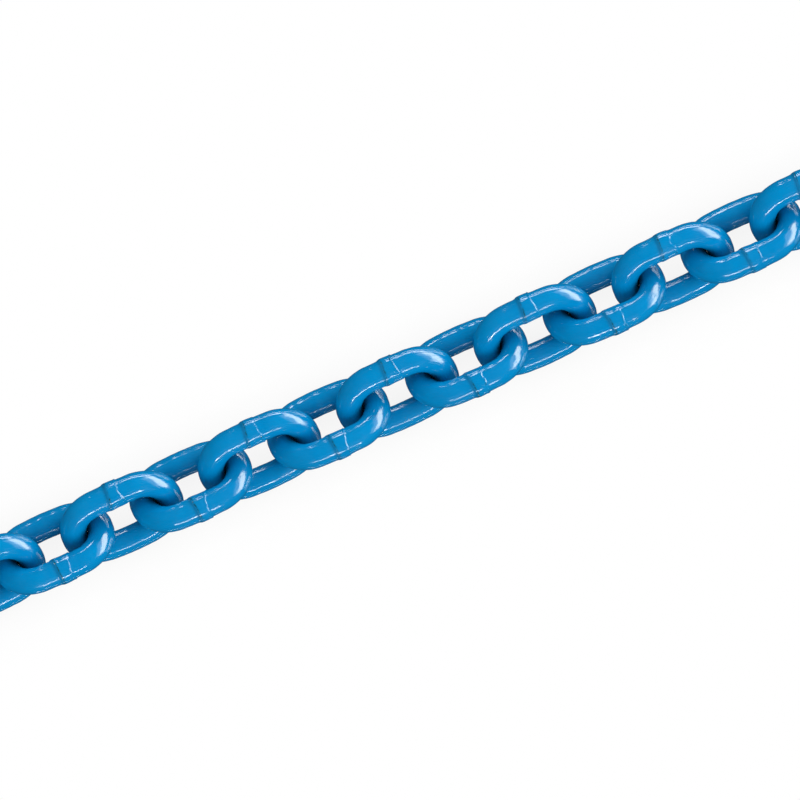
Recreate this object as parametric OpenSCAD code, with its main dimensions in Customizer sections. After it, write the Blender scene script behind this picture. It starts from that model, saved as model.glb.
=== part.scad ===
// Short link lifting chain, lying straight along X on the plane z = 0.
// Every link is one round bar bent to a closed loop and butt-welded at the middle of one leg.
// The links stand alternately at plus and minus the lying tilt, crown seated in crown.
// Origin: under the middle of the chain, on the plane that it lies on.

/* [Bar] */
// Diameter of the round bar, with its coat
wire_d = 13.5; // [9:0.5:15]

/* [Link] */
// Inside length of a link, which is the pitch of the pulled chain
pitch = 39; // [37:0.5:60]
// Outside width of a link across its two legs
link_w = 47.3; // [44:0.1:50]
// Straight stretch at the tip of a crown, where the next link bears
seat_len = 2; // [0.5:0.5:5]

/* [Weld] */
// Length of the pressed band round the weld, on the outside of the link
band_out_len = 6.5; // [4:0.25:8]
// Length of the same band on the inside of the link, where the bar ends were squeezed together
band_in_len = 10; // [6:0.25:11]
// Height of the band above the bar
band_rise = 0.45; // [0.2:0.05:0.8]
// Distance of the weld from the middle of the leg
weld_shift = 1.2; // [-2:0.2:2]
// Extra height of the trimmed flash that stands at one edge of the band
flash_rise = 0.3; // [0.1:0.05:0.5]
// Width of the flash
flash_w = 1.1; // [0.5:0.1:1.8]
// Depth of the crease that the trimming die left beside the other edge
crease_deep = 0.3; // [0.1:0.05:0.6]
// Width of the crease
crease_w = 0.8; // [0.4:0.1:1.5]

/* [Chain] */
// Number of links
link_count = 25; // [2:1:60]
// Running clearance between two crowns where they bear
crown_gap = 0.35; // [0.1:0.05:0.9]
// Angle between the plane of a link and the ground
lying_tilt = 45; // [40:1:50]

/* [Hidden] */
$fn = 64;
// Distance from one link's centre to the next
link_step = pitch - crown_gap;
// Centre line of the bar: half the length and half the width of its loop
loop_half_len = (pitch + wire_d) / 2;
loop_half_w = (link_w - wire_d) / 2;
// Bend radius of the centre line, and half the straight leg that it leaves
bend_r = loop_half_w - seat_len / 2;
leg_half = loop_half_len - bend_r;
// Diameter over the band and over the flash
band_d = wire_d + 2 * band_rise;
flash_d = band_d + 2 * flash_rise;
// Height of the chain's own axis above the ground
axis_z = loop_half_w * sin(lying_tilt) + wire_d / 2;
link_blue = [0.02, 0.50, 0.76];

function two_digits(n) = str(n < 10 ? "0" : "", n);
function link_name(n) = str("link_", two_digits(n));

// Half the length of the band at a height v across the leg, with v positive on the outside
function band_half(v) =
    (band_out_len + band_in_len) / 4 + (band_out_len - band_in_len) / 2 * v / wire_d;

// A straight stretch of bar along a leg, on the leg's centre line
module leg_bar(d) {
    translate([0, loop_half_w, 0])
        rotate([0, 90, 0])
            cylinder(d = d, h = 2 * leg_half, center = true);
}

// One rounded corner of the loop, in the quadrant of positive X and Y
module corner_bend() {
    translate([leg_half, seat_len / 2, 0])
        rotate_extrude(angle = 90)
            translate([bend_r, 0])
                circle(d = wire_d);
}

// The straight tip of one crown, across the link
module crown_seat() {
    translate([loop_half_len, 0, 0])
        rotate([90, 0, 0])
            cylinder(d = wire_d, h = seat_len, center = true);
}

module half_link() {
    corner_bend();
    mirror([0, 1, 0]) corner_bend();
    crown_seat();
}

// A slab across the welded leg between two lines parallel to the band's slanting edges.
// Each line has a side, -1 or 1, and lies a distance past the band's edge on that side.
module weld_slab(side_a, past_a, side_b, past_b) {
    function edge(side, past, v) = [weld_shift + side * (band_half(v) + past), v];
    translate([0, loop_half_w, 0])
        linear_extrude(height = 2 * wire_d, center = true)
            polygon([
                edge(side_a, past_a, wire_d),
                edge(side_b, past_b, wire_d),
                edge(side_b, past_b, -wire_d),
                edge(side_a, past_a, -wire_d)
            ]);
}

// The welded leg: bar with a crease, a band that is longer towards the eye, and the flash
module welded_leg() {
    difference() {
        leg_bar(wire_d);
        difference() {
            weld_slab(-1, 0, -1, crease_w);
            leg_bar(wire_d - 2 * crease_deep);
        }
    }
    intersection() {
        leg_bar(band_d);
        weld_slab(-1, 0, 1, 0);
    }
    intersection() {
        leg_bar(flash_d);
        weld_slab(1, -flash_w, 1, 0);
    }
}

// A link in its own plane, with its centre at the origin and the weld on its positive Y leg
module link_loop() {
    union() {
        half_link();
        mirror([1, 0, 0]) half_link();
        mirror([0, 1, 0]) leg_bar(wire_d);
        welded_leg();
    }
}

// Odd links lean one way and even links the other, all with the weld on the upper leg
module chain_link(n) {
    turn = n % 2 == 1 ? lying_tilt : 180 - lying_tilt;
    from_middle = n - (link_count + 1) / 2;
    color(link_blue)
        translate([from_middle * link_step, 0, axis_z])
            rotate([turn, 0, 0])
                link_loop();
}

for (n = [1 : link_count])
    chain_link(n);
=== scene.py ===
"""A short link lifting chain lying on a pale table, seen from straight above through a long lens.

Everything is in metres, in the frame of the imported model: the chain lies along X on z = 0.
"""
import math

import bpy
import numpy as np
from mathutils import Euler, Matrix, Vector


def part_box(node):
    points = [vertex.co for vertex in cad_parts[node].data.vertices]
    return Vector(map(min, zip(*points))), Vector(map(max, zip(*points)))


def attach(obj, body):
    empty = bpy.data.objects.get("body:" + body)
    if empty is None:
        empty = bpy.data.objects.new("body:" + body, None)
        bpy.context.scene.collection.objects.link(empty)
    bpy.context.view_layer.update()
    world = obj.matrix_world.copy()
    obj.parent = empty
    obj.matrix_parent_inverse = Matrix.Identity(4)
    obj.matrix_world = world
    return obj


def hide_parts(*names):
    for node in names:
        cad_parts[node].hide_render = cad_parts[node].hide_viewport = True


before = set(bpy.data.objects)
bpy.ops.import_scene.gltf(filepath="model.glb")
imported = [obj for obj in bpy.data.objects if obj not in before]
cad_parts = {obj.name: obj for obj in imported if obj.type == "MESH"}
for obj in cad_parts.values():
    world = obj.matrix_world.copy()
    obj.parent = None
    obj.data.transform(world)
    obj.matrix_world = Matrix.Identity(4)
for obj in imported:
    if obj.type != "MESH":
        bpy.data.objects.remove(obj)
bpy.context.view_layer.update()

# The links. Each is a length of round alloy steel bar, bent to a closed loop and butt-welded at the
# middle of one leg. The welding squeezes the hot ends, and a trimming die shears the flash off to a
# low band. The finished chain is dipped in a thick blue coat, which softens every edge.
mm = 0.001
link_names = sorted(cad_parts)
link_count = len(link_names)
bar_r = 6.75 * mm
eye_len = 39.0 * mm
link_w = 47.3 * mm
seat_len = 2.0 * mm
lying_tilt = math.radians(45)

# Centre line of the bar: half the loop's length and width, the bends and what is left of the legs
line_half_len = eye_len / 2 + bar_r
line_half_w = link_w / 2 - bar_r
bend_r = line_half_w - seat_len / 2
leg_half = line_half_len - bend_r
quarter_bend = bend_r * math.pi / 2
loop_len = 4 * leg_half + 2 * seat_len + 4 * quarter_bend
axis_z = line_half_w * math.sin(lying_tilt) + bar_r

# The weld's band is short on the outside of the link and long towards the eye. Its left edge is
# softer and stands higher, and its right edge is more ragged.
weld_shift = 1.2 * mm
band_out_half = 3.0 * mm
band_eye_half = 5.0 * mm
band_mean_half = (band_out_half + band_eye_half) / 2
band_widens = (band_eye_half - band_out_half) / 2
band_rise_left = 0.62 * mm
band_rise_right = 0.34 * mm
left_ramp = 0.5 * mm
left_edge_soft = 0.75 * mm
right_edge_soft = 0.28 * mm
left_ragged = 0.20 * mm
right_ragged = 0.80 * mm
die_marks = 0.2
# At the left edge the die left a crease with a fine seam in it, and at the right edge a ridge of flash
# The crease has no relief of its own: it is drawn as painted shade and duller gloss
crease_in = 0.1 * mm
crease_w = 1.1 * mm
seam_in = 1.0 * mm
seam_w = 0.34 * mm
seam_deep = 0.06 * mm
seam_share, seam_ragged = 0.7, 1.3
flash_in = 0.3 * mm
flash_w = 0.36 * mm
flash_rise = 0.13 * mm
flash_share, flash_ragged = 0.7, 2.0
# The two halves of the leg meet at the weld in a slight kink outwards, a little hollow on both sides
kink_high = 0.5 * mm
kink_half_len = 15.0 * mm
kink_hollow = 0.12
# The plain leg is a little arched, so its bends lie a little further in
arch_deep = 0.7 * mm
arch_len = 34.0 * mm

# The waves of the rolled bar, the uneven edges and the knocks. Finer waves are lower.
wave_height = 0.045 * mm
wave_count = 30
waves_along, waves_round = 34, 5
fade_along, fade_round = 0.06, 0.25
wave_sum = 2.2
ragged_waves = 12
ragged_fade = 0.6
ragged_sum = 2.5
full_turn = 6.28
dent_count = 5
dent_deep = 0.10 * mm
dent_share = (0.4, 1)
dent_w = (0.9 * mm, 1.8 * mm)
dent_free = 9 * mm

# Where two links bear, on the inside of a crown's tip, the coats all but meet, darkened with painted shade
bearing_coat = 0.18 * mm
bears_on = (0.75, 0.5)
contact_shade_on = (0.80, 0.35)
crown_soft_along, crown_soft_round = 0.1, 0.2

# The mesh: points round the bar, how far its rings lie apart, and where they lean with the band
ring_points = 56
ring_gap = 0.9 * mm
ring_gap_band = 0.45 * mm
ring_gap_edge = 0.16 * mm
edge_zone = 1.1 * mm
band_leans_to = 5.6 * mm
leaning_ends = 9.0 * mm
steps_along = 20000
first_seed = 1000


def soft_step(distance, width):
    return 0.5 + 0.5 * np.tanh(distance / width)


def hump(distance, width):
    return np.exp(-(distance / width) ** 2)


def bar_line(run):
    """The bar's centre line, so far along from the middle of the welded leg: x, y and the way outwards."""
    side = np.where(run < 0, -1.0, 1.0)
    run = np.abs(run)
    past_leg = run - leg_half
    turned = np.clip(past_leg / bend_r, 0, math.pi / 2)
    on_seat = np.clip(past_leg - quarter_bend, 0, seat_len)
    turned = turned + np.clip((past_leg - quarter_bend - seat_len) / bend_r, 0, math.pi / 2)
    on_far_leg = np.clip(past_leg - 2 * quarter_bend - seat_len, 0, leg_half)
    x = np.minimum(run, leg_half) + bend_r * np.sin(turned) - on_far_leg
    y = line_half_w - bend_r * (1 - np.cos(turned)) - on_seat
    return side * x, y, side * np.sin(turned), np.cos(turned)


def ring_runs():
    """Where the mesh's rings stand along the bar. They are close together at the edges of the band."""
    run = np.linspace(-loop_len / 2, loop_len / 2, steps_along + 1)
    from_weld = np.abs(run - weld_shift)
    gap = np.where(from_weld < leaning_ends, ring_gap_band, ring_gap)
    gap = np.where(np.abs(from_weld - band_mean_half) < edge_zone, ring_gap_edge, gap)
    count = np.concatenate([[0], np.cumsum(np.diff(run) / gap[:-1])])
    return np.interp(np.linspace(0, count[-1], round(count[-1]) + 1), count, run)


def lean_with_band(run, around):
    """Shifts a ring near the weld so that it follows the slanting edges of the band."""
    from_weld = run - weld_shift
    share = np.clip(from_weld / band_mean_half, -1, 1)
    fade = np.clip((leaning_ends - np.abs(from_weld)) / (leaning_ends - band_leans_to), 0, 1)
    return run - band_widens * np.cos(around) * share * fade


def rolled_waves(run, around, rng):
    """The waviness of hot-rolled bar under a thick coat. It closes round the bar and round the loop."""
    height = np.zeros(run.shape)
    for _ in range(wave_count):
        waves, turns = rng.integers(0, waves_along), rng.integers(-waves_round, waves_round + 1)
        share = rng.normal() / (1 + fade_along * waves + fade_round * abs(turns))
        phase = rng.uniform(0, full_turn)
        height += share * np.cos(2 * math.pi * waves * run / loop_len + turns * around + phase)
    return wave_height * height / wave_sum


def ragged_line(around, rng, strength):
    """An uneven edge round the bar."""
    line = np.zeros(around.shape)
    for turns in range(1, ragged_waves):
        line += rng.normal() * np.cos(turns * around + rng.uniform(0, full_turn)) / turns ** ragged_fade
    return strength * line / ragged_sum


def weld_band(run, around, rng):
    """Height of the trimmed band, then how far a point is on its flash, in its crease and in its seam."""
    half = band_mean_half - band_widens * np.cos(around)
    past_left = run - weld_shift + half + left_ramp + ragged_line(around, rng, left_ragged)
    past_right = weld_shift + half - run + ragged_line(around, rng, right_ragged)
    across = np.clip(past_left / (2 * half), 0, 1)
    rise = band_rise_left + (band_rise_right - band_rise_left) * across
    band = rise * soft_step(past_left, left_edge_soft) * soft_step(past_right, right_edge_soft)
    band = band * (1 + ragged_line(around, rng, die_marks))
    flash = np.clip(flash_share + ragged_line(around, rng, flash_ragged), 0, 2)
    flash = flash * hump(past_right - flash_in, flash_w)
    crease = hump(past_left - crease_in, crease_w)
    seam = hump(past_left - seam_in, seam_w) * (seam_share + ragged_line(around, rng, seam_ragged))
    return band + flash_rise * flash - seam_deep * seam, flash, crease, seam


def weld_kink(run):
    """How far the leg stands outwards, falling in two nearly straight lines from the weld."""
    share = np.clip(1 - np.abs(run - weld_shift) / kink_half_len, 0, 1)
    return kink_high * (share - kink_hollow * (1 - np.cos(2 * math.pi * share)) / 2)


def plain_arch(run):
    """How far the bends of the leg without the weld lie inwards of true arcs."""
    share = np.clip((loop_len / 2 - np.abs(run)) / arch_len, 0, 1)
    return arch_deep * (1 - np.cos(2 * math.pi * share)) / 2


def inside_crown(out_x, around, tip, side):
    """1 on the inside of a crown and 0 away from it, from shares of the way to its tip and to its side."""
    near_tip = soft_step(np.abs(out_x) - tip, crown_soft_along)
    return near_tip * soft_step(-np.cos(around) - side, crown_soft_round)


def dents(x, y, z, rng):
    """A few shallow knocks, away from where the links bear on each other."""
    depth = np.zeros(x.shape)
    for _ in range(dent_count):
        pick = rng.integers(0, x.size)
        knock_x, knock_y, knock_z = x.flat[pick], y.flat[pick], z.flat[pick]
        if math.hypot(abs(knock_x) - eye_len / 2, knock_y) >= dent_free:
            off = np.sqrt((x - knock_x) ** 2 + (y - knock_y) ** 2 + (z - knock_z) ** 2)
            depth += rng.uniform(*dent_share) * dent_deep * hump(off, rng.uniform(*dent_w))
    return depth


def link_mesh(name, number, centre_x, lean):
    """One link with its weld on the upper leg, leaning over to the left or the right of the chain."""
    rng = np.random.default_rng(first_seed + number)
    runs = ring_runs()
    rings = len(runs) - 1
    angle = np.arange(ring_points) * 2 * math.pi / ring_points
    run, around = np.meshgrid(runs, angle, indexing="ij")
    run = lean_with_band(run, around)
    x, y, out_x, out_y = bar_line(run)
    weld, flash, crease, seam = weld_band(run, around, rng)
    waves = rolled_waves(run, around, rng)
    surface = bar_r * np.cos(around)
    knocks = dents(x + surface * out_x, y + surface * out_y, bar_r * np.sin(around), rng)
    bears = inside_crown(out_x, around, *bears_on)
    radius = bar_r + weld + waves * (1 - bears) - knocks + bearing_coat * bears
    outwards = weld_kink(run) - plain_arch(run) + radius * np.cos(around)
    across, up = y + outwards * out_y, radius * np.sin(around)
    place = np.stack([centre_x + x + outwards * out_x,
                      across * math.cos(lean) - up * math.sin(lean),
                      axis_z + across * math.sin(lean) + up * math.cos(lean)], axis=-1)[:-1]

    ring, point = np.meshgrid(np.arange(rings), np.arange(ring_points), indexing="ij")
    next_point = (point + 1) % ring_points
    corner_ring = np.stack([ring, ring + 1, ring + 1, ring], axis=-1).reshape(-1)
    corner_point = np.stack([point, point, next_point, next_point], axis=-1).reshape(-1)
    faces = ((corner_ring % rings) * ring_points + corner_point).reshape(-1, 4)

    mesh = bpy.data.meshes.new(name)
    mesh.from_pydata(place.reshape(-1, 3).tolist(), [], faces.tolist())
    mesh.shade_smooth()
    # The straight bar's own coordinates, for marks that run along it
    straight = np.stack([number * loop_len + run, bar_r * np.cos(around), bar_r * np.sin(around)], axis=-1)
    bar_place = mesh.attributes.new("bar_place", "FLOAT_VECTOR", "CORNER")
    bar_place.data.foreach_set("vector", straight[corner_ring, corner_point].astype(np.float32).ravel())
    # How far a point is on the weld's parts, and in the painted shade where a neighbour bears on its crown
    has_neighbour = np.where(out_x < 0, number > 1, number < link_count)
    contact_shade = inside_crown(out_x, around, *contact_shade_on) * has_neighbour
    for label, share in (("flash", flash), ("crease", crease), ("seam", seam), ("contact_shade", contact_shade)):
        mesh.attributes.new(label, "FLOAT", "POINT").data.foreach_set(
            "value", np.clip(share[:-1], 0, 1).astype(np.float32).ravel())
    return mesh


# Their coat: glossy blue paint, a little duller in the weld's crease and darker there as painted shade,
# with grime in the seam, and painted shade where the next link bears on the crown. Colours are linear.
coat_blue = (0.0, 0.246, 0.565, 1)
coat_blue_thick = (0.0, 0.212, 0.510, 1)
coat_blue_thin = (0.001, 0.290, 0.615, 1)
# Painted shade along the weld's crease
crease_shade = (0.0, 0.175, 0.400, 1)
seam_grime = (0.004, 0.070, 0.095, 1)
speck_dark = (0.015, 0.05, 0.02, 1)
# Painted shade, then a near-black painted shadow, where the next link bears on a crown
painted_contact_shade = (0.0, 0.060, 0.130, 1)
painted_contact_shadow = (0.0, 0.008, 0.014, 1)
gloss_level = 0.75
crease_dulls = 0.08
lines_high = 0.06 * mm
scuffs_high = 0.05 * mm
sag_high = 0.06 * mm
peel_high = 0.012 * mm


class Coat:
    """Makes the nodes of the blue coat and joins them up."""

    def __init__(self, name):
        self.material = bpy.data.materials.new(name)
        self.material.use_nodes = True
        self.nodes = self.material.node_tree.nodes
        self.shader = self.nodes["Principled BSDF"]

    def join(self, source, target):
        self.material.node_tree.links.new(source, target)

    def node(self, kind, **settings):
        made = self.nodes.new(kind)
        for label, value in settings.items():
            setattr(made, label, value)
        return made

    def read(self, attribute, output="Fac"):
        return self.node("ShaderNodeAttribute", attribute_name=attribute).outputs[output]

    def noise(self, place, scale, detail, rough=0.5):
        made = self.node("ShaderNodeTexNoise")
        made.inputs["Scale"].default_value = scale
        made.inputs["Detail"].default_value = detail
        made.inputs["Roughness"].default_value = rough
        self.join(place, made.inputs["Vector"])
        return made.outputs["Fac"]

    def stretch(self, place, along, across):
        made = self.node("ShaderNodeVectorMath", operation="MULTIPLY")
        self.join(place, made.inputs[0])
        made.inputs[1].default_value = (along, across, across)
        return made.outputs["Vector"]

    def spread(self, value, low, high, to_low=0, to_high=1):
        made = self.node("ShaderNodeMapRange")
        self.join(value, made.inputs["Value"])
        bounds = (("From Min", low), ("From Max", high), ("To Min", to_low), ("To Max", to_high))
        for label, bound in bounds:
            made.inputs[label].default_value = bound
        return made.outputs["Result"]

    def reckon(self, operation, first, second):
        """The sum or product of a socket and another, or of a socket and a number."""
        made = self.node("ShaderNodeMath", operation=operation)
        self.join(first, made.inputs[0])
        if isinstance(second, float):
            made.inputs[1].default_value = second
        else:
            self.join(second, made.inputs[1])
        return made.outputs["Value"]

    def add(self, first, second):
        return self.reckon("ADD", first, second)

    def times(self, first, second):
        return self.reckon("MULTIPLY", first, second)

    def blend(self, share, first, second):
        """A colour between two, each a colour or a socket."""
        made = self.node("ShaderNodeMix", data_type="RGBA")
        self.join(share, made.inputs["Factor"])
        for label, value in (("A", first), ("B", second)):
            socket = [s for s in made.inputs if s.name == label and s.type == "RGBA"][0]
            if isinstance(value, tuple):
                socket.default_value = value
            else:
                self.join(value, socket)
        return [s for s in made.outputs if s.type == "RGBA"][0]

    def bump(self, height, distance, under=None):
        made = self.node("ShaderNodeBump")
        made.inputs["Distance"].default_value = distance
        self.join(height, made.inputs["Height"])
        if under:
            self.join(under, made.inputs["Normal"])
        return made.outputs["Normal"]


def blue_coat():
    coat = Coat("blue_coat")
    place = coat.node("ShaderNodeTexCoord").outputs["Object"]
    bar_place = coat.read("bar_place", "Vector")
    crease, seam, flash, contact_shade = (coat.read(label) for label in ("crease", "seam", "flash", "contact_shade"))

    # Colour: slow drifts of thickness and fine mottling
    drift = coat.noise(place, scale=70, detail=3)
    mottle = coat.noise(place, scale=420, detail=4, rough=0.6)
    tone = coat.blend(coat.spread(drift, 0.3, 0.7), coat_blue_thick, coat_blue_thin)
    tone = coat.blend(coat.spread(mottle, 0.35, 0.75, to_low=0.55, to_high=0.95), tone, coat_blue)
    # The crease's painted shade, the seam's grime, and painted contact shade and shadow on the crowns
    tone = coat.blend(coat.spread(crease, 0, 1, to_high=0.85), tone, crease_shade)
    caught = coat.spread(coat.noise(place, scale=700, detail=3, rough=0.6), 0.4, 0.6, to_low=0.1)
    tone = coat.blend(coat.times(seam, caught), tone, seam_grime)
    tone = coat.blend(coat.spread(contact_shade, 0, 1, to_high=0.5), tone, painted_contact_shade)
    tone = coat.blend(coat.spread(contact_shade, 0.75, 1, to_high=0.6), tone, painted_contact_shadow)
    # A few dark specks at the seam and the flash
    specks = coat.spread(coat.noise(place, scale=1100, detail=2), 0.58, 0.63, to_high=0.9)
    tone = coat.blend(coat.times(specks, coat.spread(coat.add(seam, flash), 0.2, 0.6)), tone, speck_dark)
    coat.join(tone, coat.shader.inputs["Base Color"])

    # Gloss: smooth paint in patches, a little duller where it sank into the crease
    patches = coat.noise(coat.stretch(bar_place, along=1, across=0.6), scale=160, detail=2)
    dull = coat.add(coat.spread(mottle, 0.3, 0.7, to_high=0.04),
                    coat.spread(patches, 0.35, 0.65, to_low=0.07, to_high=0.13))
    coat.join(coat.add(dull, coat.times(crease, crease_dulls)), coat.shader.inputs["Roughness"])
    coat.shader.inputs["Specular IOR Level"].default_value = gloss_level

    # Relief: the bar's rolling lines, scuffs here and there, the sag of the coat and its orange peel
    lines = coat.noise(coat.stretch(bar_place, along=0.16, across=1), scale=620, detail=3, rough=0.55)
    sag = coat.noise(place, scale=230, detail=2)
    peel = coat.noise(place, scale=1100, detail=2)
    scuffs = coat.noise(coat.stretch(bar_place, along=0.2, across=1), scale=900, detail=2)
    scuffed = coat.noise(bar_place, scale=95, detail=1)
    scuffs = coat.times(coat.spread(scuffs, 0.60, 0.66), coat.spread(scuffed, 0.50, 0.60))
    normal = coat.bump(lines, lines_high)
    normal = coat.bump(scuffs, scuffs_high, normal)
    normal = coat.bump(sag, sag_high, normal)
    normal = coat.bump(peel, peel_high, normal)
    coat.join(normal, coat.shader.inputs["Normal"])
    return coat.material


coat_material = blue_coat()
for number, name in enumerate(link_names, 1):
    low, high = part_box(name)
    # Odd links lean one way and even links the other, all with the weld on the upper leg
    lean = lying_tilt if number % 2 else math.pi - lying_tilt
    link = bpy.data.objects.new(name + "_coated", link_mesh(name, number, (low.x + high.x) / 2, lean))
    bpy.context.scene.collection.objects.link(link)
    link.data.materials.append(coat_material)
    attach(link, name)
    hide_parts(name)

# The table: a smooth white board in a white room. The camera sees white all round, with the chain's
# soft shadow on the board, and a folded chain that hangs down past the board shows through it. The
# paint's gloss sees the board as the photograph's paint does, dark but for the lamps it mirrors.
table_half = 14.0
table_gap = 0.2 * mm
shadow_tone = 0.87
shadow_reach = 30 * mm
shadow_rays = 4
table_polish = 0.05
table_ior = 2.2


def by_kind_of_ray(nodes, links, lit, seen, mirrored):
    """One shader for light on its way, one as the camera sees it, and one as gloss mirrors it."""
    path = nodes.new("ShaderNodeLightPath")
    seen_ray = nodes.new("ShaderNodeMath")
    seen_ray.operation = "MAXIMUM"
    links.new(path.outputs["Is Camera Ray"], seen_ray.inputs[0])
    links.new(path.outputs["Is Transmission Ray"], seen_ray.inputs[1])
    shader = lit
    for ray, other in ((path.outputs["Is Glossy Ray"], mirrored), (seen_ray.outputs["Value"], seen)):
        choose = nodes.new("ShaderNodeMixShader")
        links.new(ray, choose.inputs[0])
        links.new(shader, choose.inputs[1])
        links.new(other, choose.inputs[2])
        shader = choose.outputs[0]
    return shader


def table_material():
    material = bpy.data.materials.new("white_table")
    material.use_nodes = True
    nodes, links = material.node_tree.nodes, material.node_tree.links
    nodes.clear()
    # The shadow: the closer the chain stands over the board, the less of the white behind it shows
    cover = nodes.new("ShaderNodeAmbientOcclusion")
    cover.samples = shadow_rays
    cover.inputs["Distance"].default_value = shadow_reach
    tone = nodes.new("ShaderNodeMapRange")
    links.new(cover.outputs["AO"], tone.inputs["Value"])
    tone.inputs["To Min"].default_value = shadow_tone
    board = nodes.new("ShaderNodeBsdfTransparent")
    links.new(tone.outputs["Result"], board.inputs["Color"])
    # The polish: it mirrors the lamps to the paint, and lets everything else pass
    clear = nodes.new("ShaderNodeBsdfTransparent")
    polish = nodes.new("ShaderNodeBsdfGlossy")
    polish.inputs["Roughness"].default_value = table_polish
    mirrors = nodes.new("ShaderNodeFresnel")
    mirrors.inputs["IOR"].default_value = table_ior
    polished = nodes.new("ShaderNodeMixShader")
    links.new(mirrors.outputs[0], polished.inputs[0])
    links.new(clear.outputs[0], polished.inputs[1])
    links.new(polish.outputs[0], polished.inputs[2])
    shader = by_kind_of_ray(nodes, links, clear.outputs[0], board.outputs[0], polished.outputs[0])
    links.new(shader, nodes.new("ShaderNodeOutputMaterial").inputs[0])
    return material


table = bpy.data.meshes.new("table")
table_corners = ((-table_half, -table_half), (table_half, -table_half),
                 (table_half, table_half), (-table_half, table_half))
table.from_pydata([(x, y, -table_gap) for x, y in table_corners], [], [(0, 1, 2, 3)])
table.materials.append(table_material())
table_top = bpy.data.objects.new("table_top", table)
bpy.context.scene.collection.objects.link(table_top)

# The studio's air: soft light from overhead, and hardly any from below. The camera sees it white, and
# the gloss sees it almost dark, as the photograph's paint does.
air_below = 0.04
air_overhead = 0.65
air_white = 1
horizon_in_gloss = 0.025
ceiling_in_gloss = 0.0
air_rises = (-0.35, 0.12)


def studio_air():
    world = bpy.data.worlds.new("studio_air")
    bpy.context.scene.world = world
    world.use_nodes = True
    nodes, links = world.node_tree.nodes, world.node_tree.links
    nodes.clear()
    height = nodes.new("ShaderNodeSeparateXYZ")
    links.new(nodes.new("ShaderNodeTexCoord").outputs["Generated"], height.inputs[0])
    skies = []
    tones = ((air_below, air_overhead), (air_white, air_white), (horizon_in_gloss, ceiling_in_gloss))
    for low, high in tones:
        rise = nodes.new("ShaderNodeMapRange")
        links.new(height.outputs["Z"], rise.inputs["Value"])
        rise.inputs["From Min"].default_value, rise.inputs["From Max"].default_value = air_rises
        rise.inputs["To Min"].default_value = low
        rise.inputs["To Max"].default_value = high
        sky = nodes.new("ShaderNodeBackground")
        sky.inputs["Color"].default_value = (1, 1, 1, 1)
        links.new(rise.outputs["Result"], sky.inputs["Strength"])
        skies.append(sky.outputs[0])
    shader = by_kind_of_ray(nodes, links, *skies)
    links.new(shader, nodes.new("ShaderNodeOutputWorld").inputs[0])


studio_air()

# The lamps. A large soft box past the chain's far end makes the pale patch on each crown, brighter
# towards its heart and core. Two strip boxes beside the chain draw the thin lines along its legs, and
# a wide box on the near side fills the paint without showing in its gloss.
chain_middle = Vector((0, 0, axis_z))
lamp_distance = 8.0
watts_per_m2 = 4.0
white = (1.0, 1.0, 1.0)
warm_white = (1.0, 0.94, 0.72)


def soft_box(name, bearings, heights, brightness, colour=white, lights_paint=True, shows_in_gloss=True):
    """A lamp box that faces the chain, between two compass bearings from X and two heights, in degrees."""
    bearing, height = (math.radians(sum(ends) / 2) for ends in (bearings, heights))
    half_width, half_tall = (math.radians(ends[1] - ends[0]) / 2 for ends in (bearings, heights))
    level = math.cos(height)
    lamp = bpy.data.lights.new(name, "AREA")
    lamp.shape = "RECTANGLE"
    lamp.size = 2 * lamp_distance * level * math.tan(half_width)
    lamp.size_y = 2 * lamp_distance * math.tan(half_tall)
    lamp.energy = watts_per_m2 * brightness * lamp.size * lamp.size_y
    lamp.color = colour
    box = bpy.data.objects.new(name, lamp)
    way = Vector((level * math.cos(bearing), level * math.sin(bearing), math.sin(height)))
    box.location = chain_middle + lamp_distance * way
    box.rotation_euler = (-way).to_track_quat("-Z", "Y").to_euler()
    box.visible_camera = False
    box.visible_diffuse = lights_paint
    box.visible_glossy = shows_in_gloss
    bpy.context.scene.collection.objects.link(box)


soft_box("end_box", bearings=(-42, 45), heights=(9, 50), brightness=1.0)
soft_box("end_box_heart", bearings=(-41, 45), heights=(9, 37), brightness=2.5, colour=warm_white,
         lights_paint=False)
soft_box("end_box_core", bearings=(-33, 39), heights=(12, 33), brightness=3.3, colour=warm_white,
         lights_paint=False)
soft_box("near_strip", bearings=(-118, -84), heights=(26, 29.5), brightness=15.5, lights_paint=False)
soft_box("far_strip", bearings=(44, 90), heights=(6, 13), brightness=8.8)
soft_box("near_fill", bearings=(-130, -55), heights=(32, 62), brightness=1.9, shows_in_gloss=False)

# The camera: straight above, with a lens so long that the picture has almost no perspective. The
# chain rises to the right at the angle that it has in the photograph.
frame_w = 409.1 * mm
chain_rises = math.radians(24.3)
camera_aim = Vector((-0.4 * mm, -4.0 * mm, axis_z))
lens = 800
sensor = 36
sees_to = 60.0

camera = bpy.data.cameras.new("camera")
camera.lens = lens
camera.sensor_width = sensor
camera.clip_end = sees_to
camera_object = bpy.data.objects.new("camera", camera)
camera_object.location = camera_aim + Vector((0, 0, frame_w * lens / sensor))
camera_object.rotation_euler = Euler((0, 0, -chain_rises))
bpy.context.scene.collection.objects.link(camera_object)
bpy.context.scene.camera = camera_object
bpy.context.scene.view_settings.view_transform = "Standard"
